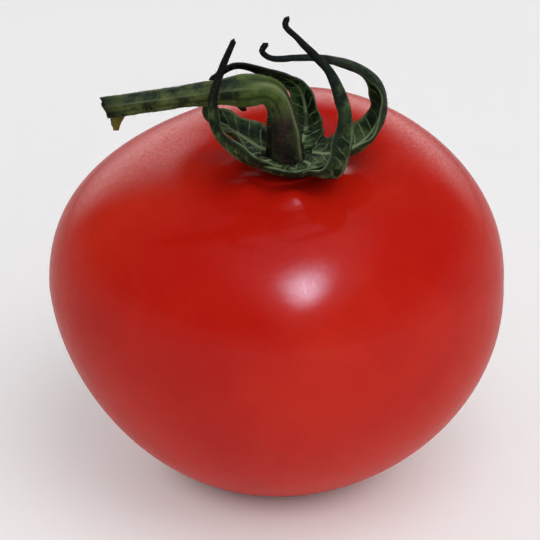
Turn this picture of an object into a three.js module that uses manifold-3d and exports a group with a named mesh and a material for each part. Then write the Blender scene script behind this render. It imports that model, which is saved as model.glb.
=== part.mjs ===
// A ripe round tomato as picked, with its calyx and the bent piece of stalk that it hung on.
// Millimetres, +Z up. The origin is the middle of the small flat spot that the fruit rests on.
// The stalk points to -X, and -Y is the front. Angles are measured from +X towards +Y.
import * as THREE from 'three';
import Module from 'manifold-3d';

const DEGREE = Math.PI / 180;

// Fruit: a round profile from the flat spot up to the rim of the dimple and down to its floor
const FRUIT_RADIUS = 35;
const FOOT_RADIUS = 8.5;
const WIDEST_HEIGHT = 32.4;
const RIM_RADIUS = 10;
const RIM_HEIGHT = 53.3;
const FLOOR_HEIGHT = 52.2;

// How far each end of a curved stretch runs on straight before it turns
const FOOT_RUN = 8.9;
const LOWER_RUN = 18.9;
const UPPER_RUN = 18.2;
const RIM_RUN_OUT = 8.4;
const RIM_RUN_IN = 2;
const FLOOR_RUN = 6;

// What makes the fruit uneven: a leaning lower flank, a shoulder that tilts to one side and nods
// forward, with lobes behind, a dimple off the middle, and short ribs from under the calyx
const LOWER_SWAY = 0.8;
const SHOULDER_TILT = 0.08;
const SHOULDER_NOD = 0.18;
const LOBES = 2;
const LOBE_HEIGHT = 1.2;
const LOBE_ANGLE = 60 * DEGREE;
const DIMPLE_SHIFT = new THREE.Vector2(1.7, -5.2);
const RIBS = 6;
const RIB_HEIGHT = 0.8;
const RIB_ANGLE = 275 * DEGREE;
const RIB_START = 4;
const RIB_END = 10.6;

const FRUIT_SIDES = 48;
const LOWER_STEPS = 14;
const UPPER_STEPS = 13;
const DIMPLE_STEPS = 9;

// Calyx: a thick cupped disc in the dimple, with five sepals that rise from it and curl over
const CALYX_CENTRE = new THREE.Vector3(DIMPLE_SHIFT.x, DIMPLE_SHIFT.y, 53.9);
const DISC_SIDES = 25;
const DISC_SHIFT = 0.8;
const DISC_BOTTOM = -1.4;
const DISC_TOP = 0.6;
const DISC_PROFILE = [[3.2, -1.2], [5.2, -0.2], [6.9, 0.9], [7.7, 1.9], [7, 2], [5.6, 1.1], [4, 0.7]];

const SEPAL_WIDTH = 7.4;
const SEPAL_TIP_WIDTH = 0.8;
const SEPAL_TAPER = 1.85;
const SEPAL_THICKNESS = 0.9;
const SEPAL_TIP_THICKNESS = 0.6;
const SEPAL_FOLD = 0.18;
const SEPAL_ROOT = 0.16;
const SEPAL_NECK = 0.7;
const SEPAL_POINT = 0.5;
const SEPAL_STEP = 1.3;
const SEPAL_LANES = [-1, -0.45, 0.45, 1];

// Each sepal leaves the calyx at its own angle, and some are broader than the rest. Its midrib passes
// through points given as distance out along that angle, distance to the left of it, and height.
const SEPALS = [
  // Front left, crossing in front of the stalk
  {
    angle: 222,
    breadth: 1,
    midrib: [[3.5, 0, 0.8], [6, 0, 1.3], [9.4, -0.5, 3.5], [11.8, -2.5, 7], [12.4, -3, 12],
      [10.8, -2.8, 16.4], [8.7, -2.3, 20.6]],
  },
  // Front right, the tallest
  {
    angle: 312,
    breadth: 1.25,
    midrib: [[3.5, 0, 0.8], [6.8, 0.1, 0.5], [10.2, 0.4, 1.2], [11.3, 1.2, 5], [10.6, 2.2, 10],
      [7.8, 1.6, 15.9], [3.3, -0.7, 20.4], [1.5, -1.8, 22.4], [1.4, -1.4, 23.2]],
  },
  // Right, arching back over the stalk
  {
    angle: 6,
    breadth: 1.5,
    midrib: [[3.5, -0.4, 1], [6.5, -0.8, 0.9], [11.3, -0.6, 2.6], [14.2, 0.6, 6.7], [13.8, 1.4, 11],
      [10.8, 1.8, 13.8], [5, 1.5, 15.7], [1, 0.9, 16.1], [-2.5, 0.3, 16.4], [-3.7, 0.4, 17.4],
      [-3.2, 0.3, 18.4]],
  },
  // Behind the stalk, folding over to the left
  {
    angle: 64,
    breadth: 1,
    midrib: [[3.5, 0, 0.8], [6, 0.3, 0.9], [8.2, 0.9, 2.2], [8.8, 1.5, 6], [8.2, 2.2, 8.6],
      [6.2, 3.4, 10.6], [3.4, 5.6, 12.3], [1.2, 8.2, 13.5], [0.2, 9.4, 13.5], [-1.4, 12, 11.6]],
  },
  // Back left, hooked in under the stalk
  {
    angle: 165,
    breadth: 1.5,
    midrib: [[3.5, 0, 1], [5.5, -0.4, 1.6], [9.4, -0.2, 4], [12.2, 1.4, 6.6], [11.7, 1.8, 9],
      [9, 0, 9.2], [6.8, -0.2, 7.6]],
  },
];

// Stalk: up out of the calyx, over a swollen knuckle and away to the left, to a torn end.
// Its middle line is measured from the calyx, and its radius is given by distance along it.
const STALK_LINE = [[-0.4, 0, 1.1], [-0.7, 0, 5], [-1.4, 0, 9], [-3, -0.5, 11.4], [-7, -1.5, 11.9],
  [-13, -3, 11.9], [-19.6, -4.2, 11.4], [-26.7, -5.2, 10.7]];
const STALK_RADII = [[0, 2.7], [3, 2.5], [8, 1.9], [11, 2], [14.5, 2.4], [18.5, 1.8], [25, 1.55]];
const STALK_SIDES = 15;
const STALK_STEP = 1.5;
const STALK_FLUTES = 5;
const FLUTE_DEPTH = 0.05;
const CUT_SLANT = 0.25;

const TOOTH_LINE = [[-24.7, -5, 10.2], [-25, -5, 8.7], [-25.1, -5, 7.1]];
const TOOTH_RADIUS = 1.35;
const TOOTH_TIP_RADIUS = 0.35;
const TOOTH_SIDES = 6;
const TOOTH_STEPS = 5;

// Finish of each piece
const SKIN_RED = 0xb81d16;
const SKIN_ROUGHNESS = 0.3;
const SEPAL_GREEN = 0x2c4a26;
const SEPAL_ROUGHNESS = 0.7;
const STALK_GREEN = 0x4a5f33;
const STALK_ROUGHNESS = 0.75;

const wasm = await Module();
wasm.setup();

const smooth = (t) => THREE.MathUtils.smoothstep(t, 0, 1);

// Closed skin over rings of equal count, with one point closing each end. The rings turn
// anticlockwise seen from the last one. A blade's second face is split like its first.
function closedSkin(rings, firstPoint, lastPoint, isBlade = false) {
  const sides = rings[0].length;
  const points = [firstPoint, ...rings.flat(), lastPoint];
  const last = points.length - 1;
  const at = (ring, side) => 1 + ring * sides + (side % sides);
  const faces = [];
  for (let side = 0; side < sides; side += 1) {
    faces.push(0, at(0, side + 1), at(0, side));
    faces.push(last, at(rings.length - 1, side), at(rings.length - 1, side + 1));
    for (let ring = 0; ring + 1 < rings.length; ring += 1) {
      const a = at(ring, side);
      const b = at(ring, side + 1);
      const c = at(ring + 1, side + 1);
      const d = at(ring + 1, side);
      if (isBlade && side >= sides / 2) {
        faces.push(a, b, d, b, c, d);
      } else {
        faces.push(a, b, c, a, c, d);
      }
    }
  }
  const geometry = new THREE.BufferGeometry();
  const coordinates = points.flatMap((point) => point.toArray());
  geometry.setAttribute('position', new THREE.Float32BufferAttribute(coordinates, 3));
  geometry.setIndex(faces);
  return geometry;
}

function fuse(geometries) {
  const solids = geometries.map((geometry) => new wasm.Manifold(new wasm.Mesh({
    numProp: 3,
    vertProperties: new Float32Array(geometry.attributes.position.array),
    triVerts: new Uint32Array(geometry.index.array),
  })));
  const mesh = solids.reduce((whole, solid) => whole.add(solid)).getMesh();
  const geometry = new THREE.BufferGeometry();
  geometry.setAttribute('position', new THREE.Float32BufferAttribute(mesh.vertProperties, 3));
  geometry.setIndex(Array.from(mesh.triVerts));
  return geometry;
}

// Points evenly spaced along a smooth line, each with its direction and a side and a face
// direction that turn with the line and don't spin about it
function frameAlong(curve, steps, firstSide) {
  const frames = [];
  const side = firstSide.clone();
  let previous = null;
  for (let step = 0; step <= steps; step += 1) {
    const along = step / steps;
    const forward = curve.getTangentAt(along);
    if (previous) {
      side.applyQuaternion(new THREE.Quaternion().setFromUnitVectors(previous, forward));
    }
    side.addScaledVector(forward, -side.dot(forward)).normalize();
    const face = forward.clone().cross(side);
    frames.push({ along, forward, side: side.clone(), face, centre: curve.getPointAt(along) });
    previous = forward;
  }
  return frames;
}

function place(frame, across, out) {
  return frame.centre.clone().addScaledVector(frame.side, across).addScaledVector(frame.face, out);
}

// Fruit

// How far a rib lifts the skin at one place on the top of the fruit
function ribbing(x, y) {
  const aside = new THREE.Vector2(x, y).sub(DIMPLE_SHIFT);
  const reach = THREE.MathUtils.clamp((aside.length() - RIB_START) / (RIB_END - RIB_START), 0, 1);
  const crest = (1 + Math.cos(RIBS * (aside.angle() - RIB_ANGLE))) / 2;
  return RIB_HEIGHT * crest * Math.sin(Math.PI * reach) ** 2;
}

function fruitRing(point, { sway = 0, shoulder = 0, rib = 0, drift = 0 }) {
  const ring = [];
  for (let side = 0; side < FRUIT_SIDES; side += 1) {
    const angle = 2 * Math.PI * side / FRUIT_SIDES;
    const x = point.x * Math.cos(angle);
    const y = point.x * Math.sin(angle);
    const behind = (1 + Math.sin(angle)) / 2;
    const lobe = LOBE_HEIGHT * behind * Math.cos(LOBES * (angle - LOBE_ANGLE));
    const lift = shoulder * (SHOULDER_TILT * x + SHOULDER_NOD * y + lobe);
    const placeX = x + sway * LOWER_SWAY + drift * DIMPLE_SHIFT.x;
    const placeY = y + drift * DIMPLE_SHIFT.y;
    ring.push(new THREE.Vector3(placeX, placeY, point.y + lift + rib * ribbing(placeX, placeY)));
  }
  return ring;
}

function fruitStretch(corners, steps, uneven) {
  const curve = new THREE.CubicBezierCurve(...corners.map((corner) => new THREE.Vector2(...corner)));
  return curve.getPoints(steps).map((point, step) => fruitRing(point, uneven(step / steps, point.y)));
}

function makeFruit() {
  const lower = fruitStretch(
    [[FOOT_RADIUS, 0], [FOOT_RADIUS + FOOT_RUN, 0], [FRUIT_RADIUS, WIDEST_HEIGHT - LOWER_RUN],
      [FRUIT_RADIUS, WIDEST_HEIGHT]],
    LOWER_STEPS,
    (along, height) => ({ sway: Math.sin(Math.PI * height / WIDEST_HEIGHT) }),
  );
  const upper = fruitStretch(
    [[FRUIT_RADIUS, WIDEST_HEIGHT], [FRUIT_RADIUS, WIDEST_HEIGHT + UPPER_RUN],
      [RIM_RADIUS + RIM_RUN_OUT, RIM_HEIGHT], [RIM_RADIUS, RIM_HEIGHT]],
    UPPER_STEPS,
    (along) => ({ shoulder: smooth(along), rib: 1 }),
  );
  const dimple = fruitStretch(
    [[RIM_RADIUS, RIM_HEIGHT], [RIM_RADIUS - RIM_RUN_IN, RIM_HEIGHT], [FLOOR_RUN, FLOOR_HEIGHT],
      [0, FLOOR_HEIGHT]],
    DIMPLE_STEPS,
    (along) => ({ shoulder: 1 - smooth(along), rib: 1, drift: smooth(along) }),
  );
  const rings = [...lower, ...upper.slice(1), ...dimple.slice(1, -1)];
  const floor = new THREE.Vector3(DIMPLE_SHIFT.x, DIMPLE_SHIFT.y, FLOOR_HEIGHT);
  return closedSkin(rings, new THREE.Vector3(), floor);
}

// Calyx
function makeDisc() {
  const rings = DISC_PROFILE.map(([radius, height]) => Array.from({ length: DISC_SIDES }, (_, side) => {
    const angle = 2 * Math.PI * side / DISC_SIDES;
    return new THREE.Vector3(DISC_SHIFT + radius * Math.cos(angle), radius * Math.sin(angle), height);
  }));
  const under = new THREE.Vector3(DISC_SHIFT, 0, DISC_BOTTOM);
  const over = new THREE.Vector3(DISC_SHIFT, 0, DISC_TOP);
  return closedSkin(rings, under, over);
}

// A blade that lies flat in the disc at its root, then folds along its midrib up to a thin curled tip
function makeSepal({ angle, breadth, midrib }) {
  const turn = new THREE.Matrix4().makeRotationZ(angle * DEGREE);
  const points = midrib.map((point) => new THREE.Vector3(...point).applyMatrix4(turn));
  const curve = new THREE.CatmullRomCurve3(points);
  const steps = Math.round(curve.getLength() / SEPAL_STEP);
  const left = new THREE.Vector3(0, 1, 0).applyMatrix4(turn);
  const frames = frameAlong(curve, steps, left);
  const rings = frames.map((frame) => {
    const narrowing = (1 - frame.along) ** SEPAL_TAPER;
    const opening = smooth(frame.along / SEPAL_ROOT);
    const fullWidth = SEPAL_TIP_WIDTH + (breadth * SEPAL_WIDTH - SEPAL_TIP_WIDTH) * narrowing;
    const width = fullWidth * THREE.MathUtils.lerp(SEPAL_NECK, 1, opening);
    const half = THREE.MathUtils.lerp(SEPAL_THICKNESS, SEPAL_TIP_THICKNESS, frame.along) / 2;
    const fold = SEPAL_FOLD * width * opening;
    const lane = (across, offset) => place(frame, across * width / 2, fold * across ** 2 + offset);
    const outer = SEPAL_LANES.map((across) => lane(across, -half));
    const inner = SEPAL_LANES.toReversed().map((across) => lane(across, half));
    return [...outer, ...inner];
  });
  const tip = frames.at(-1);
  const point = tip.centre.clone().addScaledVector(tip.forward, SEPAL_POINT);
  return closedSkin(rings, frames[0].centre, point, true);
}

// Stalk
function stalkRadius(distance) {
  const next = STALK_RADII.findIndex(([mark]) => mark > distance);
  if (next < 0) {
    return STALK_RADII.at(-1)[1];
  }
  const [from, startRadius] = STALK_RADII[Math.max(next - 1, 0)];
  const [to, endRadius] = STALK_RADII[next];
  return THREE.MathUtils.lerp(startRadius, endRadius, smooth((distance - from) / (to - from)));
}

function makeStalkRod() {
  const curve = new THREE.CatmullRomCurve3(STALK_LINE.map((point) => new THREE.Vector3(...point)));
  const length = curve.getLength();
  const frames = frameAlong(curve, Math.round(length / STALK_STEP), new THREE.Vector3(0, 1, 0));
  const rings = frames.map((frame) => Array.from({ length: STALK_SIDES }, (_, side) => {
    const angle = 2 * Math.PI * side / STALK_SIDES;
    const radius = stalkRadius(frame.along * length) * (1 + FLUTE_DEPTH * Math.cos(STALK_FLUTES * angle));
    return place(frame, radius * Math.cos(angle), radius * Math.sin(angle));
  }));
  const end = frames.at(-1);
  const slant = (point) => point.addScaledVector(end.forward, CUT_SLANT * (point.z - end.centre.z));
  rings[rings.length - 1].forEach(slant);
  return closedSkin(rings, frames[0].centre, end.centre);
}

// The torn strip of skin that hangs from the stalk's end
function makeTooth() {
  const curve = new THREE.CatmullRomCurve3(TOOTH_LINE.map((point) => new THREE.Vector3(...point)));
  const frames = frameAlong(curve, TOOTH_STEPS, new THREE.Vector3(0, 1, 0));
  const rings = frames.map((frame) => Array.from({ length: TOOTH_SIDES }, (_, side) => {
    const angle = 2 * Math.PI * side / TOOTH_SIDES;
    const radius = THREE.MathUtils.lerp(TOOTH_RADIUS, TOOTH_TIP_RADIUS, frame.along);
    return place(frame, radius * Math.cos(angle), radius * Math.sin(angle));
  }));
  return closedSkin(rings, frames[0].centre, frames.at(-1).centre);
}

function namedMesh(name, geometry, color, roughness) {
  geometry.computeVertexNormals();
  const mesh = new THREE.Mesh(geometry, new THREE.MeshStandardMaterial({ color, roughness, metalness: 0 }));
  mesh.name = name;
  return mesh;
}

const tomato = new THREE.Group();
tomato.add(namedMesh('fruit', makeFruit(), SKIN_RED, SKIN_ROUGHNESS));

const crown = new THREE.Group();
crown.position.copy(CALYX_CENTRE);
const calyx = fuse([makeDisc(), ...SEPALS.map(makeSepal)]);
const stalk = fuse([makeStalkRod(), makeTooth()]);
crown.add(namedMesh('calyx', calyx, SEPAL_GREEN, SEPAL_ROUGHNESS));
crown.add(namedMesh('stalk', stalk, STALK_GREEN, STALK_ROUGHNESS));
tomato.add(crown);

export default tomato;
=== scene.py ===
# A ripe round tomato with its calyx and the bent piece of stalk it hung on.
# Shapes are set out in millimetres, as in the part, and become metres in each mesh.
import math

import bpy
import numpy as np
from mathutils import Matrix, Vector, noise


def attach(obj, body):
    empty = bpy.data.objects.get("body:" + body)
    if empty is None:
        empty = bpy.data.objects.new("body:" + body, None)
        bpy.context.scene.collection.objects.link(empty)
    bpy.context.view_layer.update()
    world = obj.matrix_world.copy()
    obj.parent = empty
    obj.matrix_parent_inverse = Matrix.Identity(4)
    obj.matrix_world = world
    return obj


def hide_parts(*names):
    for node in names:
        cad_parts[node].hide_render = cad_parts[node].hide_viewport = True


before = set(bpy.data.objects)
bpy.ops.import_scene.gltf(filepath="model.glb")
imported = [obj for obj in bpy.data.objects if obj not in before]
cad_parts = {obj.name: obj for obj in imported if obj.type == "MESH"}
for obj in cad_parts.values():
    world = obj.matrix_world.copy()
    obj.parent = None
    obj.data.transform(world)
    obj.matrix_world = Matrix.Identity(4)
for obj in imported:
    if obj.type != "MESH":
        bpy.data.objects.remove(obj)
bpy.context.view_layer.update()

MM = 0.001
BODY = "root"
NOISE_SHIFT = (7.3, 3.1, 5.7)
LINE_SAMPLES = 60

# Fruit
FRUIT_RADIUS = 35
FOOT_RADIUS = 8.5
WIDEST_HEIGHT = 32.4
RIM_RADIUS = 10
RIM_HEIGHT = 53.3
FLOOR_HEIGHT = 52.2
FOOT_RUN = 8.9
LOWER_RUN = 18.9
UPPER_RUN = 18.2
RIM_RUN_OUT = 8.4
RIM_RUN_IN = 2
FLOOR_RUN = 6
LOWER_SWAY = 0.8
SHOULDER_TILT = 0.08
SHOULDER_NOD = 0.18
LOBES = 2
LOBE_HEIGHT = 1.2
LOBE_ANGLE = math.radians(60)
DIMPLE_SHIFT = (1.7, -5.2)
RIBS = 6
RIB_HEIGHT = 0.8
RIB_ANGLE = math.radians(275)
RIB_START = 4
RIB_END = 10.6
FRUIT_SIDES = 192
LOWER_STEPS = 52
UPPER_STEPS = 52
DIMPLE_STEPS = 44
SWELL_HEIGHT = 0.14
SWELL_SIZE = 24
SWELL_START = 8
SWELL_SEED = 1
WRINKLE_HEIGHT = 0.06
WRINKLE_SIZE = 0.7
WRINKLE_SPREAD = 5
WRINKLE_RUN = 0.2
WRINKLE_SEED = 2
SCAR_RADIUS = 4.3
SCAR_TOP = 1

# The duller skin beside the calyx
DULL_CENTRE = (-4, -3)
DULL_RADIUS = 6.5
DULL_FADE = 8.0

# Disc of the calyx
CALYX_CENTRE = np.array((*DIMPLE_SHIFT, 53.9))
DISC_SHIFT = 0.8
DISC_BOTTOM = -1.4
DISC_TOP = 0.6
DISC_PROFILE = ((3.2, -1.2), (5.2, -0.2), (6.9, 0.9), (7.7, 1.9), (7, 2), (5.6, 1.1), (4, 0.7))
DISC_MIDDLE = 0.5
DISC_FLAT = 4
DISC_RIM = 8
DISC_SIDES = 120
DISC_STEP = 0.25
DISC_GAPS = (267, 339, 35, 107, 186)
GAP_SHARPNESS = 12
GAP_NOTCH = 0.05
GAP_DIP = 0.5
DISC_RIBS = 10
DISC_RIB_HEIGHT = 0.06
DISC_LUMP_HEIGHT = 0.12
DISC_LUMP_SIZE = 1.4
DISC_LUMP_START = 3
DISC_SEED = 4
LIP_START = 8.2
LIP_RUN = 1.4
DISC_ACROSS = 0.4
DISC_REACH = 7

# Sepals
SEPAL_WIDTH = 7.4
SEPAL_TIP_WIDTH = 0.8
SEPAL_TAPER = 1.85
SEPAL_THICKNESS = 0.9
SEPAL_TIP_THICKNESS = 0.6
SEPAL_EDGE_THINNING = 0.5
SEPAL_FOLD = 0.18
SEPAL_TIP_FOLD = 0.9
SEPAL_ROOT = 0.16
SEPAL_NECK = 0.7
SEPAL_POINT = 0.5
SEPAL_LANES = 15
SEPAL_STEP = 0.35
SEPAL_LUMP_HEIGHT = 0.05
SEPAL_LUMP_SIZE = 1.3
SEPAL_FIRST_SEED = 30
SEPAL_SEED_STEP = 5
EDGE_NOTCH = 0.05
EDGE_NOTCH_RATE = 1.9
EDGE_SWAY = 0.04
EDGE_SWAY_RATE = 0.8
EDGE_WAVE = 0.05
EDGE_WAVE_LENGTH = 7
EDGE_WAVE_SHIFT = 0.37
MIDRIB_HEIGHT = 0.16
MIDRIB_WIDTH = 0.16
MIDRIB_FADE = 0.5

# For each sepal: the way it points in degrees, its breadth, and points of its midrib
SEPALS = {
    "front_left": (222, 1, ((3.5, 0, 0.8), (6, 0, 1.3), (9.4, -0.5, 3.5), (11.8, -2.5, 7), (12.4, -3, 12),
                            (10.8, -2.8, 16.4), (8.7, -2.3, 20.6))),
    "front_right": (312, 1.25, ((3.5, 0, 0.8), (6.8, 0.1, 0.5), (10.2, 0.4, 1.2), (11.3, 1.2, 5),
                                (10.6, 2.2, 10), (7.8, 1.6, 15.9), (3.3, -0.7, 20.4), (1.5, -1.8, 22.4),
                                (1.4, -1.4, 23.2))),
    "right": (6, 1.5, ((3.5, -0.4, 1), (6.5, -0.8, 0.9), (11.3, -0.6, 2.6), (14.2, 0.6, 6.7),
                       (13.8, 1.4, 11), (10.8, 1.8, 13.8), (5, 1.5, 15.7), (1, 0.9, 16.1),
                       (-2.5, 0.3, 16.4), (-3.7, 0.4, 17.4), (-3.2, 0.3, 18.4))),
    "back": (64, 1, ((3.5, 0, 0.8), (6, 0.3, 0.9), (8.2, 0.9, 2.2), (8.8, 1.5, 6), (8.2, 2.2, 8.6),
                     (6.2, 3.4, 10.6), (3.4, 5.6, 12.3), (1.2, 8.2, 13.5), (0.2, 9.4, 13.5),
                     (-1.4, 12, 11.6))),
    "back_left": (165, 1.5, ((3.5, 0, 1), (5.5, -0.4, 1.6), (9.4, -0.2, 4), (12.2, 1.4, 6.6),
                             (11.7, 1.8, 9), (9, 0, 9.2), (6.8, -0.2, 7.6))),
}

# Stalk: its line, and its radius at distances along it
STALK_LINE = ((-0.4, 0, 1.1), (-0.7, 0, 5), (-1.4, 0, 9), (-3, -0.5, 11.4), (-7, -1.5, 11.9),
              (-13, -3, 11.9), (-19.6, -4.2, 11.4), (-26.7, -5.2, 10.7))
STALK_RADII = ((0, 2.7), (3, 2.5), (8, 1.9), (11, 2), (14.5, 2.4), (18.5, 1.8), (25, 1.55))
STALK_SIDES = 60
STALK_STEP = 0.3
FLUTES = 5
FLUTE_DEPTH = 0.05
FLUTE_SHARE = 0.7
FINE_RIDGES = 13
FINE_RIDGE_DEPTH = 0.018
FINE_RIDGE_SWAY = 0.4
FINE_RIDGE_SWAY_LENGTH = 3
FINE_RIDGE_SHARE = 0.3
SEAM_WAY = (0.85, -0.55, 0)
SEAM_HALF = 0.3
SEAM_END = 0.42
SEAM_FADE = 0.1
SEAM_HEIGHT = 0.14
STALK_LUMP_HEIGHT = 0.09
STALK_LUMP_SIZE = 1.7
STALK_LUMP_SEED = 11
STALK_PIMPLE_HEIGHT = 0.05
STALK_PIMPLE_SIZE = 0.6
STALK_PIMPLE_SEED = 12
STALK_FOOT_SPREAD = 1.12
STALK_FOOT_DEPTH = 1.1
STALK_ROOT_DEPTH = 1.2

# Torn end of the stalk: rings that shrink and sink towards the pith, and a strip that hangs from it
CUT_SLANT = 0.25
CUT_JAG = 0.22
CUT_JAG_SIZE = 0.5
CUT_JAG_SEED = 13
PITH_RINGS = ((0.86, 0.12), (0.6, 0.4), (0.3, 0.55))
PITH_DEPTH = 0.5
PITH_JAG = 0.25
PITH_JAG_SIZE = 0.35
PITH_JAG_SEED = 14
PITH_TORN = 0.25
TOOTH_LINE = ((-24.7, -5, 10.2), (-25, -5, 8.7), (-25.1, -5, 7.1))
TOOTH_RADIUS = 1.35
TOOTH_TIP_RADIUS = 0.4
TOOTH_THINNESS = 0.75
TOOTH_SIDES = 20
TOOTH_STEP = 0.12
TOOTH_LUMP_HEIGHT = 0.1
TOOTH_LUMP_SIZE = 0.6
TOOTH_SEED = 21
TOOTH_PLACE = 0.8
TOOTH_TORN = 0.4

# Hairs
HAIR_RADIUS = 0.025
HAIR_SUNK = 0.08
HAIR_LEAN = 0.25
HAIR_ASIDE = (0.3, 0.5, 0.8)
HAIR_SHORTEST = 0.5
HAIR_LONGEST = 1.3
STALK_HAIRS = 900
STALK_HAIR_LENGTH = 0.45
STALK_HAIR_SEED = 62
SEPAL_HAIRS = 220
SEPAL_HAIR_LENGTH = 0.35
SEPAL_HAIR_SEED = 61

# Colours as seen on a screen, 0 to 255
SKIN_DEEP = (183, 23, 12)
SKIN_BRIGHT = (197, 37, 18)
SKIN_FLECK = (214, 80, 46)
SKIN_SCAR = (122, 84, 48)
LEAF_DARK = (16, 32, 16)
LEAF_LIGHT = (74, 96, 54)
LEAF_VEIN = (136, 154, 112)
LEAF_BLOT = (12, 18, 12)
# Painted shade for the leaf margins, mostly on the outer face
LEAF_MARGIN_SHADE = (14, 21, 13)
LEAF_DRY = (10, 11, 9)
RIND_DARK = (26, 36, 20)
RIND_LIGHT = (78, 90, 48)
RIND_KNUCKLE = (76, 102, 38)
RIND_RIDGE = (112, 122, 82)
RIND_GROOVE = (20, 26, 16)
# Painted shade, patchy green and brown, for the stalk's foot below the knuckle
RIND_SHADE_GREEN = (16, 22, 15)
RIND_SHADE_BROWN = (48, 28, 26)
RIND_SEAM = (126, 138, 94)
RIND_END = (14, 16, 11)
RIND_TORN = (100, 88, 38)
HAIR_DARK = (70, 84, 50)
HAIR_LIGHT = (128, 138, 100)
STAGE_DARK = (212, 212, 213)
STAGE_LIGHT = (215, 215, 216)
BLACK = (0, 0, 0)

# Gloss of the skin, and how far its grain and the dull part change it
SKIN_GLOSS = 0.38
DULL_GLOSS = 0.03
DULL_FULL = 0.8
SPECKLE_GRAIN = (0.35, 0.65)
SPECKLE_GLOSS = (0.72, 1.28)

# How strongly each marking covers the colour under it
FLECK_SHARE = 0.1
VEIN_SHARE = 0.65
LEAF_EDGE_SHARE = 0.6
OUTER_VEIN_SHARE = 0.45
BLOT_SHARE = 0.7
OUTER_MARGIN_SHADE_SHARE = 0.85
INNER_MARGIN_SHADE_SHARE = 0.1
KNUCKLE_SHARE = 0.5
RIDGE_SHARE = 0.3
GROOVE_SHARE = 0.5
FOOT_SHADE_SHARE = 0.75
SEAM_SHARE = 0.8
END_SHARE = 0.75

# Flecks: how closely they lie, how large they are, and the share of each that is full
FLECK_SCALE = 900.0
FLECK_SIZE = 0.2
FLECK_CORE = 0.4

# Where each other marking begins to show and where it is full
SCAR_EDGE = (0.2, 0.9)
VEIN_EDGE = (0.12, 0.02)
VEIN_FADE = (0.75, 0.2)
MIDRIB_EDGE = (0.2, 0.08)
LEAF_EDGE = (0.8, 0.98)
MARGIN_SHADE_EDGE = (0.6, 0.95)
DRY_EDGE = (0.52, 0.95)
KNUCKLE_START = (0.22, 0.32)
KNUCKLE_END = (0.48, 0.38)
RIDGE_EDGE = (0.45, 0.9)
GROOVE_EDGE = (-0.2, -0.8)
FOOT_SHADE_EDGE = (0.24, 0.16)
END_EDGE = (0.9, 1.0)
TORN_EDGE = (0.2, 0.9)

# Roughness, from the smoothest places to the roughest, and the grain that the leaf's follows
SKIN_ROUGHNESS = (0.34, 0.42)
LEAF_ROUGHNESS = (0.55, 0.75)
LEAF_ROUGHNESS_GRAIN = (0.3, 0.7)
RIND_ROUGHNESS = (0.6, 0.75)
HAIR_ROUGHNESS = (0.5, 0.65)
STAGE_ROUGHNESS = (0.55, 0.62)

# Veins: how many to the millimetre, how they slant from the midrib, and how unsteady they are
VEIN_RATE = 0.55
VEIN_SLANT = -1.1
VEIN_SHAKE = 0.9
VEIN_HALF_GAP = 0.5
MIDRIB_SHAKE = 0.06
DRY_SHAKE = 0.2
VEIN_RELIEF = 0.8

# View: a camera fitted to the photograph, 27 degrees over the ground
CAMERA_PLACE = (0, -338.6, 202.5)
CAMERA_AIM = (-1, 1.3, 32.5)
CAMERA_NEAR = 10
LENS = 163.4
SENSOR = 36

# Stage: a pale floor with a faint glow of its own, which ends near the foot of the fruit in a painted
# contact shadow
STAGE_HALF = 3000
STAGE_GLOW = 0.38
STAGE_GLOW_START = 10
STAGE_GLOW_FULL = 21

# Sky: one strength for what it lights, from the horizon up, one for what the camera sees, and others
# for what is mirrored of it, in front and behind
SKY_TINT = (1.0, 0.98, 0.97, 1)
SKY_EVEN = (0.2, 0.52)
SKY_EVEN_RISE = 0.6
SKY_SEEN = 0.8
SKY_LOW = 0.65
SKY_FRONT = 0.15
SKY_FRONT_RISE = 0.5
SKY_HORIZON = 1.4
SKY_BEHIND = 3.7
SKY_BEHIND_RISE = 0.3
SKY_BACK = (0.68, 0.93)

# Lamps: place, aim, width, height and watts
LAMP_TINT = (1.0, 0.98, 0.96)
SOFT_LAMPS = {
    "front_lamp": ((400, -560, 720), (0, 0, 20), 1100, 1100, 2.0),
    "top_lamp": ((200, -340, 900), (0, 0, 20), 700, 700, 2.65),
    "fill_lamp": ((150, -900, 420), (0, 0, 45), 500, 500, 0.8),
}
GLINT_LAMP = ((109, -236, 811), (4.2, -29.6, 45.0), 840, 2800, 51.0)
GLINT_TINT = (0.6, 0.8, 1.0)
GLINT_ROLL = math.radians(-17)
GLINT_CORE = 4.6
GLINT_CORE_RADIUS = 0.24
GLINT_CORE_FALL = 2.2
GLINT_HALO = 0.18
GLINT_HALO_RADIUS = 0.5


# Shape helpers
def smooth(t):
    t = np.clip(t, 0, 1)
    return t * t * (3 - 2 * t)


def full_turn(sides):
    """Angles of the points of one ring."""
    return np.linspace(0, 2 * np.pi, sides, endpoint=False)[None]


def wander(points, size, seed):
    """Smooth noise between -1 and 1 at each point, with lumps of about the given size."""
    shift = Vector([seed * step for step in NOISE_SHIFT])
    flat = points.reshape(-1, 3)
    values = [noise.noise(Vector(point) / size + shift) for point in flat]
    return np.array(values).reshape(points.shape[:-1])


def lumps(points, height, size, seed):
    """Small moves of each point along all three axes."""
    return height * np.stack([wander(points, size, seed + axis) for axis in range(3)], axis=-1)


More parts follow.
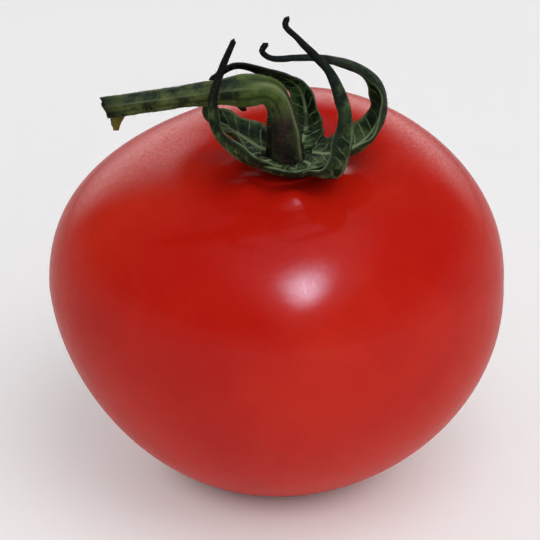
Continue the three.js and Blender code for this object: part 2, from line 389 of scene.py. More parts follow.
def along_line(points, spacing):
    """Evenly spaced points of the smooth line through the given ones, their directions and its length."""
    given = np.array(points, float)
    first = 2 * given[0] - given[1]
    last = 2 * given[-1] - given[-2]
    padded = np.vstack([first, given, last])
    weight = np.linspace(0, 1, LINE_SAMPLES, endpoint=False)[:, None]
    dense = []
    for p0, p1, p2, p3 in zip(padded, padded[1:], padded[2:], padded[3:]):
        gap0, gap1, gap2 = (math.sqrt(np.linalg.norm(b - a)) for a, b in ((p0, p1), (p1, p2), (p2, p3)))
        leave = ((p1 - p0) / gap0 - (p2 - p0) / (gap0 + gap1) + (p2 - p1) / gap1) * gap1
        arrive = ((p2 - p1) / gap1 - (p3 - p1) / (gap1 + gap2) + (p3 - p2) / gap2) * gap1
        square = weight ** 2
        cube = weight ** 3
        dense.append(p1 + weight * leave + square * (3 * (p2 - p1) - 2 * leave - arrive)
                     + cube * (2 * (p1 - p2) + leave + arrive))
    dense = np.vstack([*dense, given[-1:]])
    run = np.concatenate([[0], np.cumsum(np.linalg.norm(np.diff(dense, axis=0), axis=1))])
    even = np.linspace(0, run[-1], max(round(run[-1] / spacing), 4) + 1)
    line = np.stack([np.interp(even, run, dense[:, axis]) for axis in range(3)], axis=1)
    forward = np.gradient(line, axis=0)
    return line, forward / np.linalg.norm(forward, axis=1, keepdims=True), run[-1]


def frames_along(points, spacing, first_side):
    """A smooth line with side and face directions that turn with it and don't spin."""
    line, forward, length = along_line(points, spacing)
    sides = []
    side = np.array(first_side, float)
    previous = forward[0]
    for ahead in forward:
        turn = Vector(previous).rotation_difference(Vector(ahead))
        side = np.array(turn @ Vector(side))
        side = side - ahead * (side @ ahead)
        side = side / np.linalg.norm(side)
        sides.append(side)
        previous = ahead
    sides = np.array(sides)
    return line, forward, sides, np.cross(forward, sides), length


def rings_along(line, side, face, across, out):
    """Points set off from each place on a line, across it and out from its face."""
    return line[:, None] + side[:, None] * across[..., None] + face[:, None] * out[..., None]


def closed_skin(name, rings, first_point, last_point, traits):
    """A closed mesh over rings of points, one point closing each end, with values kept per point."""
    count, sides = rings.shape[:2]
    points = np.vstack([[first_point], rings.reshape(-1, 3), [last_point]])
    last = len(points) - 1
    start = 1 + np.arange(count)[:, None] * sides + np.arange(sides)
    ahead = np.roll(start, -1, axis=1)
    quads = np.stack([start[:-1], ahead[:-1], ahead[1:], start[1:]], axis=-1).reshape(-1, 4)
    faces = quads.tolist()
    faces += [(0, b, a) for a, b in zip(start[0].tolist(), ahead[0].tolist())]
    faces += [(last, a, b) for a, b in zip(start[-1].tolist(), ahead[-1].tolist())]
    mesh = bpy.data.meshes.new(name)
    mesh.from_pydata((points * MM).tolist(), [], faces)
    for label, values in traits.items():
        values = np.broadcast_to(values, (count, sides))
        ends = np.concatenate([[values[0].mean()], values.ravel(), [values[-1].mean()]])
        mesh.attributes.new(label, "FLOAT", "POINT").data.foreach_set("value", ends.astype(np.float32))
    mesh.shade_smooth()
    return mesh


def show(name, mesh, material, node):
    piece = bpy.data.objects.new(name, mesh)
    bpy.context.scene.collection.objects.link(piece)
    mesh.materials.append(material)
    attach(piece, BODY)
    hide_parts(node)


# Fruit
def bezier(corners, steps):
    t = np.linspace(0, 1, steps + 1)[:, None]
    p0, p1, p2, p3 = np.array(corners, float)
    return (1 - t) ** 3 * p0 + 3 * (1 - t) ** 2 * t * p1 + 3 * (1 - t) * t ** 2 * p2 + t ** 3 * p3


def ribbing(rings):
    """How far the short ribs that run out from under the calyx lift each point."""
    aside = rings[..., :2] - DIMPLE_SHIFT
    gap = np.hypot(aside[..., 0], aside[..., 1])
    reach = np.clip((gap - RIB_START) / (RIB_END - RIB_START), 0, 1)
    turn = np.arctan2(aside[..., 1], aside[..., 0]) - RIB_ANGLE
    crest = 0.5 + 0.5 * np.cos(RIBS * turn)
    return RIB_HEIGHT * crest * np.sin(np.pi * reach) ** 2


def fruit_mesh():
    widest = (FRUIT_RADIUS, WIDEST_HEIGHT)
    rim = (RIM_RADIUS, RIM_HEIGHT)
    lower = bezier(((FOOT_RADIUS, 0), (FOOT_RADIUS + FOOT_RUN, 0),
                    (FRUIT_RADIUS, WIDEST_HEIGHT - LOWER_RUN), widest), LOWER_STEPS)
    upper = bezier((widest, (FRUIT_RADIUS, WIDEST_HEIGHT + UPPER_RUN),
                    (RIM_RADIUS + RIM_RUN_OUT, RIM_HEIGHT), rim), UPPER_STEPS)[1:]
    dimple = bezier((rim, (RIM_RADIUS - RIM_RUN_IN, RIM_HEIGHT),
                     (FLOOR_RUN, FLOOR_HEIGHT), (0, FLOOR_HEIGHT)), DIMPLE_STEPS)[1:-1]
    radius, height = np.vstack([lower, upper, dimple]).T[:, :, None]
    not_lower = np.zeros(len(lower))
    not_upper = np.zeros(len(upper))
    not_dimple = np.zeros(len(dimple))
    up = np.linspace(0, 1, UPPER_STEPS + 1)[1:]
    down = np.linspace(0, 1, DIMPLE_STEPS + 1)[1:-1]
    leaning = np.sin(np.pi * lower[:, 1] / WIDEST_HEIGHT)
    sway = np.concatenate([leaning, not_upper, not_dimple])[:, None]
    shoulder = np.concatenate([not_lower, smooth(up), 1 - smooth(down)])[:, None]
    drift = np.concatenate([not_lower, not_upper, smooth(down)])[:, None]

    angle = full_turn(FRUIT_SIDES)
    x = radius * np.cos(angle)
    y = radius * np.sin(angle)
    flat = np.ones_like(x)
    lobe = LOBE_HEIGHT * (1 + np.sin(angle)) / 2 * np.cos(LOBES * (angle - LOBE_ANGLE))
    lift = shoulder * (SHOULDER_TILT * x + SHOULDER_NOD * y + lobe)
    aside = sway * LOWER_SWAY + drift * DIMPLE_SHIFT[0]
    rings = np.stack([x + aside, y + drift * DIMPLE_SHIFT[1], height + lift], axis=-1)

    # Slight swellings, none where the fruit stands, and wrinkles in the dimple
    out = np.stack([np.cos(angle) * flat, np.sin(angle) * flat], axis=-1)
    swell = SWELL_HEIGHT * wander(rings, SWELL_SIZE, SWELL_SEED) * smooth(height / SWELL_START)
    rings[..., :2] += out * swell[..., None]
    depth = np.concatenate([not_lower, not_upper, down])[:, None] * flat
    spokes = np.dstack([WRINKLE_SPREAD * out, WRINKLE_RUN * radius * flat])
    rings[..., 2] += WRINKLE_HEIGHT * wander(spokes, WRINKLE_SIZE, WRINKLE_SEED) * np.sin(np.pi * depth) ** 2

    top = height > WIDEST_HEIGHT
    rings[..., 2] += ribbing(rings) * top
    scar = (1 - smooth((radius - SCAR_RADIUS) / SCAR_RADIUS)) * (height < SCAR_TOP)
    gap = np.hypot(rings[..., 0] - DULL_CENTRE[0], rings[..., 1] - DULL_CENTRE[1])
    dull = (1 - smooth((gap - DULL_RADIUS) / DULL_FADE)) * top
    return closed_skin("fruit_skin", rings, (0, 0, 0), (*DIMPLE_SHIFT, FLOOR_HEIGHT),
                       {"dull": dull, "scar": scar})


# Calyx
def disc_mesh():
    profile = ((DISC_MIDDLE, DISC_BOTTOM), *DISC_PROFILE, (DISC_MIDDLE, DISC_TOP))
    line, _, _ = along_line([(radius, 0, height) for radius, height in profile], DISC_STEP)
    angle = full_turn(DISC_SIDES)
    radius = line[:, :1]
    height = line[:, 2:]
    outer = smooth((radius - DISC_FLAT) / (DISC_RIM - DISC_FLAT))
    lip = smooth((radius + height - LIP_START) / LIP_RUN)

    # The rim dips between one sepal and the next
    gaps = [np.exp(GAP_SHARPNESS * (np.cos(angle - math.radians(middle)) - 1)) for middle in DISC_GAPS]
    low = outer * sum(gaps)
    notched = radius * (1 - GAP_NOTCH * low)
    rings = np.stack([notched * np.cos(angle), notched * np.sin(angle), height - GAP_DIP * low], axis=-1)
    ribs = np.cos(DISC_RIBS * angle) * outer
    rough = DISC_LUMP_HEIGHT * wander(rings, DISC_LUMP_SIZE, DISC_SEED) * smooth(notched / DISC_LUMP_START)
    rings[..., 2] += rough + DISC_RIB_HEIGHT * ribs
    rings[..., 0] += DISC_SHIFT
    top = np.arange(len(line))[:, None] > np.argmax(line[:, 0] + line[:, 2])
    # At the lip the sepal material gives the disc a pale edge on top and painted margin shade underneath
    traits = {
        "along": 0,
        "across": DISC_ACROSS + (1 - DISC_ACROSS) * lip,
        "inner": top * 1.0,
        "reach": DISC_REACH * np.abs(angle - np.pi),
    }
    under = CALYX_CENTRE + (DISC_SHIFT, 0, DISC_BOTTOM)
    over = CALYX_CENTRE + (DISC_SHIFT, 0, DISC_TOP)
    return closed_skin("calyx_disc", rings + CALYX_CENTRE, under, over, traits)


def sepal_mesh(name, angle, breadth, midrib, seed):
    turn = math.radians(angle)
    spin = np.array(((math.cos(turn), -math.sin(turn), 0), (math.sin(turn), math.cos(turn), 0), (0, 0, 1)))
    points = np.array(midrib) @ spin.T
    line, forward, side, face, length = frames_along(points, SEPAL_STEP, spin @ (0, 1, 0))
    along = np.linspace(0, 1, len(line))[:, None]
    lanes = np.linspace(-1, 1, SEPAL_LANES)[None]
    reach = along * length
    opening = smooth(along / SEPAL_ROOT)
    width = SEPAL_TIP_WIDTH + (breadth * SEPAL_WIDTH - SEPAL_TIP_WIDTH) * (1 - along) ** SEPAL_TAPER
    width = width * (SEPAL_NECK + (1 - SEPAL_NECK) * opening)
    notches = EDGE_NOTCH * np.sin(reach * EDGE_NOTCH_RATE + seed) * np.abs(lanes)
    ragged = 1 + notches + EDGE_SWAY * np.sin(reach * EDGE_SWAY_RATE) * lanes
    half = (SEPAL_THICKNESS + (SEPAL_TIP_THICKNESS - SEPAL_THICKNESS) * along) / 2
    fold = SEPAL_FOLD * width * opening * (1 + SEPAL_TIP_FOLD * along)
    swing = np.sin(2 * np.pi * (reach / EDGE_WAVE_LENGTH + seed * EDGE_WAVE_SHIFT))
    wave = EDGE_WAVE * width * lanes ** 3 * swing
    rise = fold * lanes ** 2 + wave * opening
    thin = half * (1 - SEPAL_EDGE_THINNING * lanes ** 2)
    ridge = MIDRIB_HEIGHT * np.exp(-(lanes / MIDRIB_WIDTH) ** 2) * (1 - MIDRIB_FADE * along)

    across = lanes * ragged * width / 2
    outer = rings_along(line, side, face, across, rise - (thin + ridge))
    inner = rings_along(line, side, face, across, rise + thin)[:, ::-1]
    rings = np.concatenate([outer, inner], axis=1)
    rings += lumps(rings, SEPAL_LUMP_HEIGHT, SEPAL_LUMP_SIZE, seed)
    traits = {
        "along": along,
        "across": np.concatenate([lanes[0], lanes[0, ::-1]]),
        "inner": np.repeat((0.0, 1.0), SEPAL_LANES),
        "reach": reach,
    }
    root = line[0] + CALYX_CENTRE
    tip = line[-1] + forward[-1] * SEPAL_POINT + CALYX_CENTRE
    return closed_skin(f"sepal_{name}", rings + CALYX_CENTRE, root, tip, traits)


# Stalk
def stalk_radius(distance):
    marks, radii = np.array(STALK_RADII).T
    following = np.clip(np.searchsorted(marks, distance, side="right"), 1, len(marks) - 1)
    share = (distance - marks[following - 1]) / (marks[following] - marks[following - 1])
    return radii[following - 1] + (radii[following] - radii[following - 1]) * smooth(share)


def stalk_mesh():
    line, forward, side, face, length = frames_along(STALK_LINE, STALK_STEP, (0, 1, 0))
    distance = np.linspace(0, length, len(line))[:, None]
    angle = full_turn(STALK_SIDES)
    flute = np.cos(FLUTES * angle)
    fine = np.cos(FINE_RIDGES * angle + FINE_RIDGE_SWAY * np.sin(distance / FINE_RIDGE_SWAY_LENGTH))
    bearing = np.arctan2(np.dot(SEAM_WAY, face[0]), np.dot(SEAM_WAY, side[0]))
    off_seam = np.arccos(np.cos(angle - bearing))
    seam = smooth(1 - off_seam / SEAM_HALF) * smooth((SEAM_END - distance / length) / SEAM_FADE)
    ridged = 1 + FLUTE_DEPTH * flute + FINE_RIDGE_DEPTH * fine
    radius = stalk_radius(distance) * ridged + SEAM_HEIGHT * seam
    rings = rings_along(line, side, face, radius * np.cos(angle), radius * np.sin(angle))
    away = rings - line[:, None]
    away /= np.linalg.norm(away, axis=-1, keepdims=True)
    rough = (STALK_LUMP_HEIGHT * wander(rings, STALK_LUMP_SIZE, STALK_LUMP_SEED)
             + STALK_PIMPLE_HEIGHT * wander(rings, STALK_PIMPLE_SIZE, STALK_PIMPLE_SEED))
    rings += away * rough[..., None]
    end = rings[-1]
    cut = CUT_SLANT * (end[:, 2] - line[-1, 2]) + CUT_JAG * wander(end, CUT_JAG_SIZE, CUT_JAG_SEED)
    rings[-1] = end + forward[-1] * cut[:, None]

    # The torn end sinks in towards its pith
    inward = []
    for share, sink in PITH_RINGS:
        ring = line[-1] + (rings[-1] - line[-1]) * share - forward[-1] * sink
        jag = PITH_JAG * wander(ring, PITH_JAG_SIZE, PITH_JAG_SEED)
        inward.append(ring + forward[-1] * jag[:, None])

    # The foot widens and goes down into the calyx
    foot = line[0] + (rings[0] - line[0]) * STALK_FOOT_SPREAD - forward[0] * STALK_FOOT_DEPTH
    rings = np.concatenate([foot[None], rings, np.array(inward)])
    count = len(PITH_RINGS)
    fine_rows = np.concatenate([fine[:1], fine, fine[-count:]])
    traits = {
        "distance": np.concatenate([np.zeros((1, 1)), distance / length, np.ones((count, 1))]),
        "ridge": flute * FLUTE_SHARE + FINE_RIDGE_SHARE * fine_rows,
        "torn": np.concatenate([np.zeros((1, 1)), distance * 0, np.full((count, 1), PITH_TORN)]),
        "seam": np.concatenate([seam[:1], seam, np.zeros((count, STALK_SIDES))]),
    }
    root = line[0] - forward[0] * STALK_ROOT_DEPTH + CALYX_CENTRE
    pith = line[-1] - forward[-1] * PITH_DEPTH + CALYX_CENTRE
    return closed_skin("stalk_rod", rings + CALYX_CENTRE, root, pith, traits)


def tooth_mesh():
    line, _, side, face, _ = frames_along(TOOTH_LINE, TOOTH_STEP, (0, 1, 0))
    along = np.linspace(0, 1, len(line))[:, None]
    angle = full_turn(TOOTH_SIDES)
    radius = TOOTH_RADIUS + (TOOTH_TIP_RADIUS - TOOTH_RADIUS) * along
    rings = rings_along(line, side, face, TOOTH_THINNESS * radius * np.cos(angle), radius * np.sin(angle))
    rings += lumps(rings, TOOTH_LUMP_HEIGHT, TOOTH_LUMP_SIZE, TOOTH_SEED)
    traits = {"distance": TOOTH_PLACE, "ridge": 0, "torn": TOOTH_TORN + (1 - TOOTH_TORN) * along}
    root = line[0] + CALYX_CENTRE
    tip = line[-1] + CALYX_CENTRE
    return closed_skin("stalk_tooth", rings + CALYX_CENTRE, root, tip, traits)


# Hairs
def hair_mesh(name, meshes, count, length, seed):
    """Fine three-sided spikes standing out of the given meshes, each with its root sunk in."""
    draw = np.random.default_rng(seed)
    points = []
    faces = []
    for mesh in meshes:
        total = len(mesh.vertices)
        roots = np.empty(total * 3)
        mesh.vertices.foreach_get("co", roots)
        normals = np.empty(total * 3)
        mesh.vertex_normals.foreach_get("vector", normals)
        roots = roots.reshape(-1, 3) / MM
        normals = normals.reshape(-1, 3)
        for pick in draw.integers(1, total - 1, count):
            lean = normals[pick] + draw.normal(0, HAIR_LEAN, 3)
            lean /= np.linalg.norm(lean)
            side = np.cross(lean, HAIR_ASIDE)
            side *= HAIR_RADIUS / np.linalg.norm(side)
            other = np.cross(lean, side)
            root = roots[pick] - lean * HAIR_SUNK
            tip = root + lean * (HAIR_SUNK + length * draw.uniform(HAIR_SHORTEST, HAIR_LONGEST))
            first = len(points)
            points += [root + side, root - side / 2 + other, root - side / 2 - other, tip]
            faces += [(first, first + 2, first + 1), (first, first + 1, first + 3),
                      (first + 1, first + 2, first + 3), (first + 2, first, first + 3)]
    hairs = bpy.data.meshes.new(name)
    hairs.from_pydata((np.array(points) * MM).tolist(), [], faces)
    return hairs


# Material helpers
def add(tree, kind, inputs=None, **settings):
    made = tree.nodes.new(kind)
    for name, value in settings.items():
        setattr(made, name, value)
    for name, value in (inputs or {}).items():
        socket = made.inputs[name]
        if isinstance(value, bpy.types.NodeSocket):
            tree.links.new(value, socket)
        else:
            socket.default_value = value
    return made


def colour(tone):
    """A screen colour as the shader's linear values."""
    return (*(((c / 255 + 0.055) / 1.055) ** 2.4 if c > 10 else c / 255 / 12.92 for c in tone), 1)


def math_node(tree, operation, first, second=0.0):
    return add(tree, "ShaderNodeMath", {0: first, 1: second}, operation=operation).outputs[0]


def times(tree, first, second):
    return math_node(tree, "MULTIPLY", first, second)


def plus(tree, first, second):
    return math_node(tree, "ADD", first, second)


def blend(tree, share, first, second):
    """A value between two others."""
    return add(tree, "ShaderNodeMix", {0: share, 2: first, 3: second}).outputs[0]


def mix(tree, share, first, second):
    """A colour between two others."""
    return add(tree, "ShaderNodeMix", {0: share, 6: first, 7: second}, data_type="RGBA").outputs[2]


def ramp(tree, value, low, high, to_low=0.0, to_high=1.0):
    limits = {"From Min": low, "From Max": high, "To Min": to_low, "To Max": to_high}
    made = add(tree, "ShaderNodeMapRange", {"Value": value, **limits}, interpolation_type="SMOOTHSTEP")
    return made.outputs["Result"]


def bump(tree, height, strength, distance):
    values = {"Height": height, "Strength": strength, "Distance": distance}
    return add(tree, "ShaderNodeBump", values).outputs[0]


def trait(tree, name):
    return add(tree, "ShaderNodeAttribute", attribute_name=name).outputs["Fac"]


def own_place(tree):
    return add(tree, "ShaderNodeTexCoord").outputs["Object"]


def group(name, inputs, outputs):
    tree = bpy.data.node_groups.new(name, "ShaderNodeTree")
    for socket, (kind, value) in inputs.items():
        made = tree.interface.new_socket(socket, in_out="INPUT", socket_type=f"NodeSocket{kind}")
        made.default_value = value
    for socket, kind in outputs.items():
        tree.interface.new_socket(socket, in_out="OUTPUT", socket_type=f"NodeSocket{kind}")
    return tree, tree.nodes.new("NodeGroupInput").outputs, tree.nodes.new("NodeGroupOutput").inputs


def use(tree, effect, **inputs):
    return add(tree, "ShaderNodeGroup", inputs, node_tree=effect).outputs


def new_material(name, **values):
    material = bpy.data.materials.new(name)
    material.use_nodes = True
    tree = material.node_tree
    shader = tree.nodes["Principled BSDF"]
    for socket, value in values.items():
        shader.inputs[socket.replace("_", " ")].default_value = value
    return material, tree, shader.inputs


# Effects that more than one material uses
def patchy_tone():
    """Two tones that run into each other in soft patches."""
    white = (1, 1, 1, 1)
    inputs = {"First": ("Color", white), "Second": ("Color", white), "Scale": ("Float", 40.0),
              "Low": ("Float", 0.35), "High": ("Float", 0.65)}
    tree, given, result = group("Patchy tone", inputs, {"Color": "Color", "Mask": "Float"})
    cloud = add(tree, "ShaderNodeTexNoise", {"Vector": own_place(tree), "Scale": given["Scale"],
                                             "Detail": 4.0, "Roughness": 0.55})
    mask = ramp(tree, cloud.outputs["Fac"], given["Low"], given["High"])
    tree.links.new(mix(tree, mask, given["First"], given["Second"]), result["Color"])
    tree.links.new(mask, result["Mask"])
    return tree


def plant_grain():
    """Fine uneven height, for bumps and for the speckle in the gloss of the skin."""
    inputs = {"Scale": ("Float", 900.0), "Stretch": ("Float", 1.0)}
    tree, given, result = group("Plant grain", inputs, {"Height": "Float"})
    squeeze = add(tree, "ShaderNodeCombineXYZ", {"X": given["Stretch"], "Y": 1.0, "Z": 1.0}).outputs[0]
    stretched = add(tree, "ShaderNodeVectorMath", {0: own_place(tree), 1: squeeze}, operation="MULTIPLY")
    fine = add(tree, "ShaderNodeTexNoise", {"Vector": stretched.outputs[0], "Scale": given["Scale"],
                                            "Detail": 5.0, "Roughness": 0.6})
    tree.links.new(fine.outputs["Fac"], result["Height"])
    return tree


PATCHY_TONE = patchy_tone()
PLANT_GRAIN = plant_grain()


# Materials
def soft_dots(tree, scale, size):
    """Scattered dots with soft edges."""
    cells = add(tree, "ShaderNodeTexVoronoi", {"Vector": own_place(tree), "Scale": scale, "Randomness": 1.0})
    return ramp(tree, cells.outputs["Distance"], size, FLECK_CORE * size)


def skin_material():
    material, tree, shader = new_material(
        "tomato_skin", Subsurface_Weight=0.12, Subsurface_Scale=0.004, Subsurface_Radius=(1.0, 0.18, 0.1),
        IOR=1.45, Specular_IOR_Level=0.0, Coat_Weight=SKIN_GLOSS, Coat_Roughness=0.12, Coat_IOR=1.45)
    red = use(tree, PATCHY_TONE, First=colour(SKIN_DEEP), Second=colour(SKIN_BRIGHT), Scale=30.0)["Color"]
    dots = soft_dots(tree, FLECK_SCALE, FLECK_SIZE)
    flecked = mix(tree, times(tree, dots, FLECK_SHARE), red, colour(SKIN_FLECK))
    tone = mix(tree, ramp(tree, trait(tree, "scar"), *SCAR_EDGE), flecked, colour(SKIN_SCAR))
    tree.links.new(tone, shader["Base Color"])
    pores = use(tree, PLANT_GRAIN, Scale=2200.0)["Height"]
    speckle = ramp(tree, pores, *SPECKLE_GRAIN, *SPECKLE_GLOSS)
    gloss = ramp(tree, trait(tree, "dull"), 0.0, DULL_FULL, SKIN_GLOSS, DULL_GLOSS)
    tree.links.new(times(tree, gloss, speckle), shader["Coat Weight"])
    cloudy = use(tree, PATCHY_TONE, Scale=260.0)["Mask"]
    tree.links.new(ramp(tree, cloudy, 0, 1, *SKIN_ROUGHNESS), shader["Roughness"])
    grain = use(tree, PLANT_GRAIN, Scale=1100.0)["Height"]
    tree.links.new(bump(tree, grain, strength=0.2, distance=0.0004), shader["Normal"])
    return material


def sepal_material():
    material, tree, shader = new_material("sepal_leaf", Subsurface_Weight=0.08, Subsurface_Scale=0.001,
                                          IOR=1.4, Specular_IOR_Level=0.12)
    along = trait(tree, "along")
    inner = trait(tree, "inner")
    off_rib = math_node(tree, "ABSOLUTE", trait(tree, "across"))
    unsteady = add(tree, "ShaderNodeTexNoise", {"Vector": own_place(tree), "Scale": 500.0, "Detail": 2.0})
    shake = unsteady.outputs["Fac"]
    leaf = use(tree, PATCHY_TONE, First=colour(LEAF_DARK), Second=colour(LEAF_LIGHT), Scale=520.0,
               Low=0.4, High=0.66)["Color"]

    # Veins leave the midrib at a slant
    climb = times(tree, trait(tree, "reach"), VEIN_RATE)
    slant = times(tree, off_rib, VEIN_SLANT)
    phase = plus(tree, plus(tree, climb, slant), times(tree, shake, VEIN_SHAKE))
    veins = ramp(tree, math_node(tree, "PINGPONG", phase, VEIN_HALF_GAP), *VEIN_EDGE)
    midrib = ramp(tree, plus(tree, off_rib, times(tree, shake, MIDRIB_SHAKE)), *MIDRIB_EDGE)
    edge = ramp(tree, off_rib, *LEAF_EDGE)
    lines = math_node(tree, "MAXIMUM", times(tree, veins, VEIN_SHARE), midrib)
    lines = math_node(tree, "MAXIMUM", lines, times(tree, edge, LEAF_EDGE_SHARE))
    seen = ramp(tree, inner, 0, 1, OUTER_VEIN_SHARE, 1.0)
    showing = times(tree, ramp(tree, along, *VEIN_FADE), seen)
    pale = times(tree, lines, showing)
    tone = mix(tree, pale, leaf, colour(LEAF_VEIN))
    blots = use(tree, PATCHY_TONE, Scale=260.0, Low=0.52, High=0.62)["Mask"]
    tone = mix(tree, times(tree, blots, BLOT_SHARE), tone, colour(LEAF_BLOT))

    # Painted shade darkens the margins, mostly on the outer face, and the tips are dry
    shade_facing = ramp(tree, inner, 0, 1, OUTER_MARGIN_SHADE_SHARE, INNER_MARGIN_SHADE_SHARE)
    margin_shade = times(tree, ramp(tree, off_rib, *MARGIN_SHADE_EDGE), shade_facing)
    tone = mix(tree, margin_shade, tone, colour(LEAF_MARGIN_SHADE))
    dry = ramp(tree, plus(tree, along, times(tree, shake, DRY_SHAKE)), *DRY_EDGE)
    tone = mix(tree, dry, tone, colour(LEAF_DRY))
    tree.links.new(tone, shader["Base Color"])
    tree.links.new(ramp(tree, shake, *LEAF_ROUGHNESS_GRAIN, *LEAF_ROUGHNESS), shader["Roughness"])
    grain = use(tree, PLANT_GRAIN, Scale=1600.0)["Height"]
    height = plus(tree, grain, times(tree, pale, VEIN_RELIEF))
    tree.links.new(bump(tree, height, strength=0.5, distance=0.0003), shader["Normal"])
    return material


def stalk_material():
    material, tree, shader = new_material("stalk_rind", Subsurface_Weight=0.08, Subsurface_Scale=0.001,
                                          IOR=1.4, Specular_IOR_Level=0.12)
    ridge = trait(tree, "ridge")
    place = trait(tree, "distance")
    rind = use(tree, PATCHY_TONE, First=colour(RIND_DARK), Second=colour(RIND_LIGHT), Scale=460.0,
               Low=0.38, High=0.64)
    # Painted shade, patchy green and brown, over the stalk's foot below the knuckle
    foot_shade = use(tree, PATCHY_TONE, First=colour(RIND_SHADE_GREEN), Second=colour(RIND_SHADE_BROWN),
                Scale=380.0)["Color"]
    knuckle = times(tree, ramp(tree, place, *KNUCKLE_START), ramp(tree, place, *KNUCKLE_END))

    # Each marking lies over the ones before it
    markings = (
        (times(tree, knuckle, KNUCKLE_SHARE), colour(RIND_KNUCKLE)),
        (times(tree, ramp(tree, ridge, *RIDGE_EDGE), RIDGE_SHARE), colour(RIND_RIDGE)),
        (times(tree, ramp(tree, ridge, *GROOVE_EDGE), GROOVE_SHARE), colour(RIND_GROOVE)),
        (times(tree, ramp(tree, place, *FOOT_SHADE_EDGE), FOOT_SHADE_SHARE), foot_shade),
        (times(tree, trait(tree, "seam"), SEAM_SHARE), colour(RIND_SEAM)),
        (times(tree, ramp(tree, place, *END_EDGE), END_SHARE), colour(RIND_END)),
        (ramp(tree, trait(tree, "torn"), *TORN_EDGE), colour(RIND_TORN)),
    )
    tone = rind["Color"]
    for share, marking in markings:
        tone = mix(tree, share, tone, marking)
    tree.links.new(tone, shader["Base Color"])
    tree.links.new(ramp(tree, rind["Mask"], 0, 1, *RIND_ROUGHNESS), shader["Roughness"])
    grain = use(tree, PLANT_GRAIN, Scale=1500.0, Stretch=0.35)["Height"]
    tree.links.new(bump(tree, grain, strength=0.6, distance=0.0004), shader["Normal"])
    return material


def hair_material():
    material, tree, shader = new_material("plant_hair", IOR=1.4, Specular_IOR_Level=0.12)
    tint = use(tree, PATCHY_TONE, First=colour(HAIR_DARK), Second=colour(HAIR_LIGHT), Scale=700.0)
    tree.links.new(tint["Color"], shader["Base Color"])
    tree.links.new(ramp(tree, tint["Mask"], 0, 1, *HAIR_ROUGHNESS), shader["Roughness"])
    return material


def floor_material():
    material, tree, shader = new_material("pale_floor", Specular_IOR_Level=0.3, Emission_Strength=STAGE_GLOW)
    cloud = use(tree, PATCHY_TONE, First=colour(STAGE_DARK), Second=colour(STAGE_LIGHT), Scale=6.0)
    tree.links.new(cloud["Color"], shader["Base Color"])
    place = add(tree, "ShaderNodeNewGeometry").outputs["Position"]
    from_middle = add(tree, "ShaderNodeVectorMath", {0: place}, operation="LENGTH").outputs["Value"]
    # The glow fades to black round the fruit's foot, a painted contact shadow
    glow_outside_shadow = ramp(tree, from_middle, STAGE_GLOW_START * MM, STAGE_GLOW_FULL * MM)
    glow = mix(tree, glow_outside_shadow, colour(BLACK), cloud["Color"])
    tree.links.new(glow, shader["Emission Color"])
    tree.links.new(ramp(tree, cloud["Mask"], 0, 1, *STAGE_ROUGHNESS), shader["Roughness"])
    return material


# Pieces
show("fruit_skin", fruit_mesh(), skin_material(), "fruit")
leaf_material = sepal_material()
down_material = hair_material()
show("calyx_disc", disc_mesh(), leaf_material, "calyx")
blades = []
for number, (sepal, (sepal_angle, sepal_breadth, sepal_midrib)) in enumerate(SEPALS.items()):
    sepal_seed = SEPAL_FIRST_SEED + SEPAL_SEED_STEP * number
    blade = sepal_mesh(sepal, sepal_angle, sepal_breadth, sepal_midrib, sepal_seed)
    show(f"sepal_{sepal}", blade, leaf_material, "calyx")
    blades.append(blade)
sepal_down = hair_mesh("sepal_hairs", blades, SEPAL_HAIRS, SEPAL_HAIR_LENGTH, SEPAL_HAIR_SEED)
show("sepal_hairs", sepal_down, down_material, "calyx")

rind_material = stalk_material()
rod = stalk_mesh()
show("stalk_rod", rod, rind_material, "stalk")
show("stalk_tooth", tooth_mesh(), rind_material, "stalk")
stalk_down = hair_mesh("stalk_hairs", [rod], STALK_HAIRS, STALK_HAIR_LENGTH, STALK_HAIR_SEED)
show("stalk_hairs", stalk_down, down_material, "stalk")


# Stage
def make_floor():
    half = STAGE_HALF * MM
    corners = [(-half, -half, 0), (half, -half, 0), (half, half, 0), (-half, half, 0)]
    mesh = bpy.data.meshes.new("floor")
    mesh.from_pydata(corners, [], [(0, 1, 2, 3)])
    mesh.materials.append(floor_material())
    floor = bpy.data.objects.new("floor", mesh)
    bpy.context.scene.collection.objects.link(floor)


def aim(thing, place, target):
    thing.location = Vector(place) * MM
    direction = (Vector(target) - Vector(place)) * MM
    thing.rotation_euler = direction.to_track_quat("-Z", "Y").to_euler()


def soft_light(name, place, target, width, height, watts, tint):
    data = bpy.data.lights.new(name, "AREA")
    data.shape = "ELLIPSE"
    data.size = width * MM
    data.size_y = height * MM
    data.energy = watts
    data.color = tint
    lamp = bpy.data.objects.new(name, data)
    bpy.context.scene.collection.objects.link(lamp)
    aim(lamp, place, target)
    return lamp


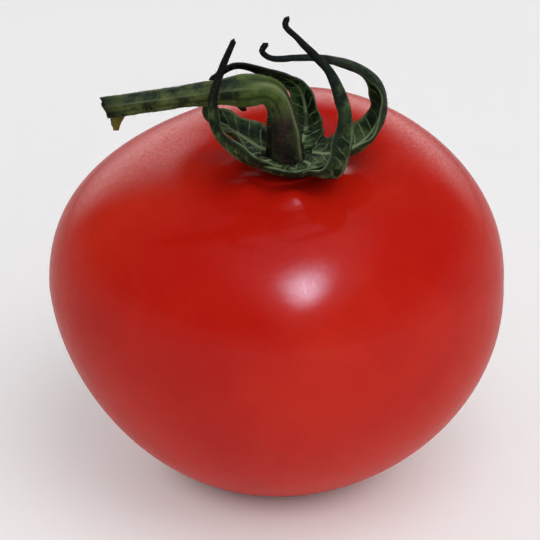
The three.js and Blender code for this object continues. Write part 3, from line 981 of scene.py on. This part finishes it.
def fade_to_edge(lamp):
    """Makes a lamp brightest at its middle, so its reflection has no hard edge."""
    lamp.use_nodes = True
    tree = lamp.node_tree
    place = add(tree, "ShaderNodeNewGeometry").outputs["Parametric"]
    middle = (0.5, 0.5, 0)
    apart = add(tree, "ShaderNodeVectorMath", {0: place, 1: middle}, operation="DISTANCE").outputs["Value"]
    peak = math_node(tree, "POWER", ramp(tree, apart, GLINT_CORE_RADIUS, 0.0), GLINT_CORE_FALL)
    core = times(tree, peak, GLINT_CORE)
    halo = times(tree, ramp(tree, apart, GLINT_HALO_RADIUS, 0.0), GLINT_HALO)
    tree.links.new(plus(tree, core, halo), tree.nodes["Emission"].inputs["Strength"])


def make_lamps():
    # The glint is only ever mirrored, and the other lamps never are
    glint = soft_light("glint_lamp", *GLINT_LAMP, GLINT_TINT)
    glint.rotation_euler.rotate_axis("Z", GLINT_ROLL)
    glint.visible_diffuse = False
    fade_to_edge(glint.data)
    for name, values in SOFT_LAMPS.items():
        lamp = soft_light(name, *values, LAMP_TINT)
        lamp.visible_glossy = False


def make_camera():
    data = bpy.data.cameras.new("camera")
    data.lens = LENS
    data.sensor_width = SENSOR
    data.clip_start = CAMERA_NEAR * MM
    camera = bpy.data.objects.new("camera", data)
    bpy.context.scene.collection.objects.link(camera)
    aim(camera, CAMERA_PLACE, CAMERA_AIM)
    bpy.context.scene.camera = camera


def make_sky():
    world = bpy.data.worlds.new("studio")
    world.use_nodes = True
    tree = world.node_tree
    looking = add(tree, "ShaderNodeTexCoord").outputs["Generated"]
    way = add(tree, "ShaderNodeSeparateXYZ", {0: looking}).outputs
    front = ramp(tree, way["Z"], 0.0, SKY_FRONT_RISE, SKY_LOW, SKY_FRONT)
    behind = ramp(tree, way["Z"], 0.0, SKY_BEHIND_RISE, SKY_HORIZON, SKY_BEHIND)
    mirrored = blend(tree, ramp(tree, way["Y"], *SKY_BACK), front, behind)
    soft = ramp(tree, way["Z"], 0.0, SKY_EVEN_RISE, *SKY_EVEN)
    path = add(tree, "ShaderNodeLightPath").outputs
    even = blend(tree, path["Is Camera Ray"], soft, SKY_SEEN)
    strength = blend(tree, path["Is Glossy Ray"], even, mirrored)
    background = tree.nodes["Background"].inputs
    background["Color"].default_value = SKY_TINT
    tree.links.new(strength, background["Strength"])
    bpy.context.scene.world = world


make_floor()
make_camera()
make_sky()
make_lamps()
bpy.context.scene.view_settings.view_transform = "Standard"
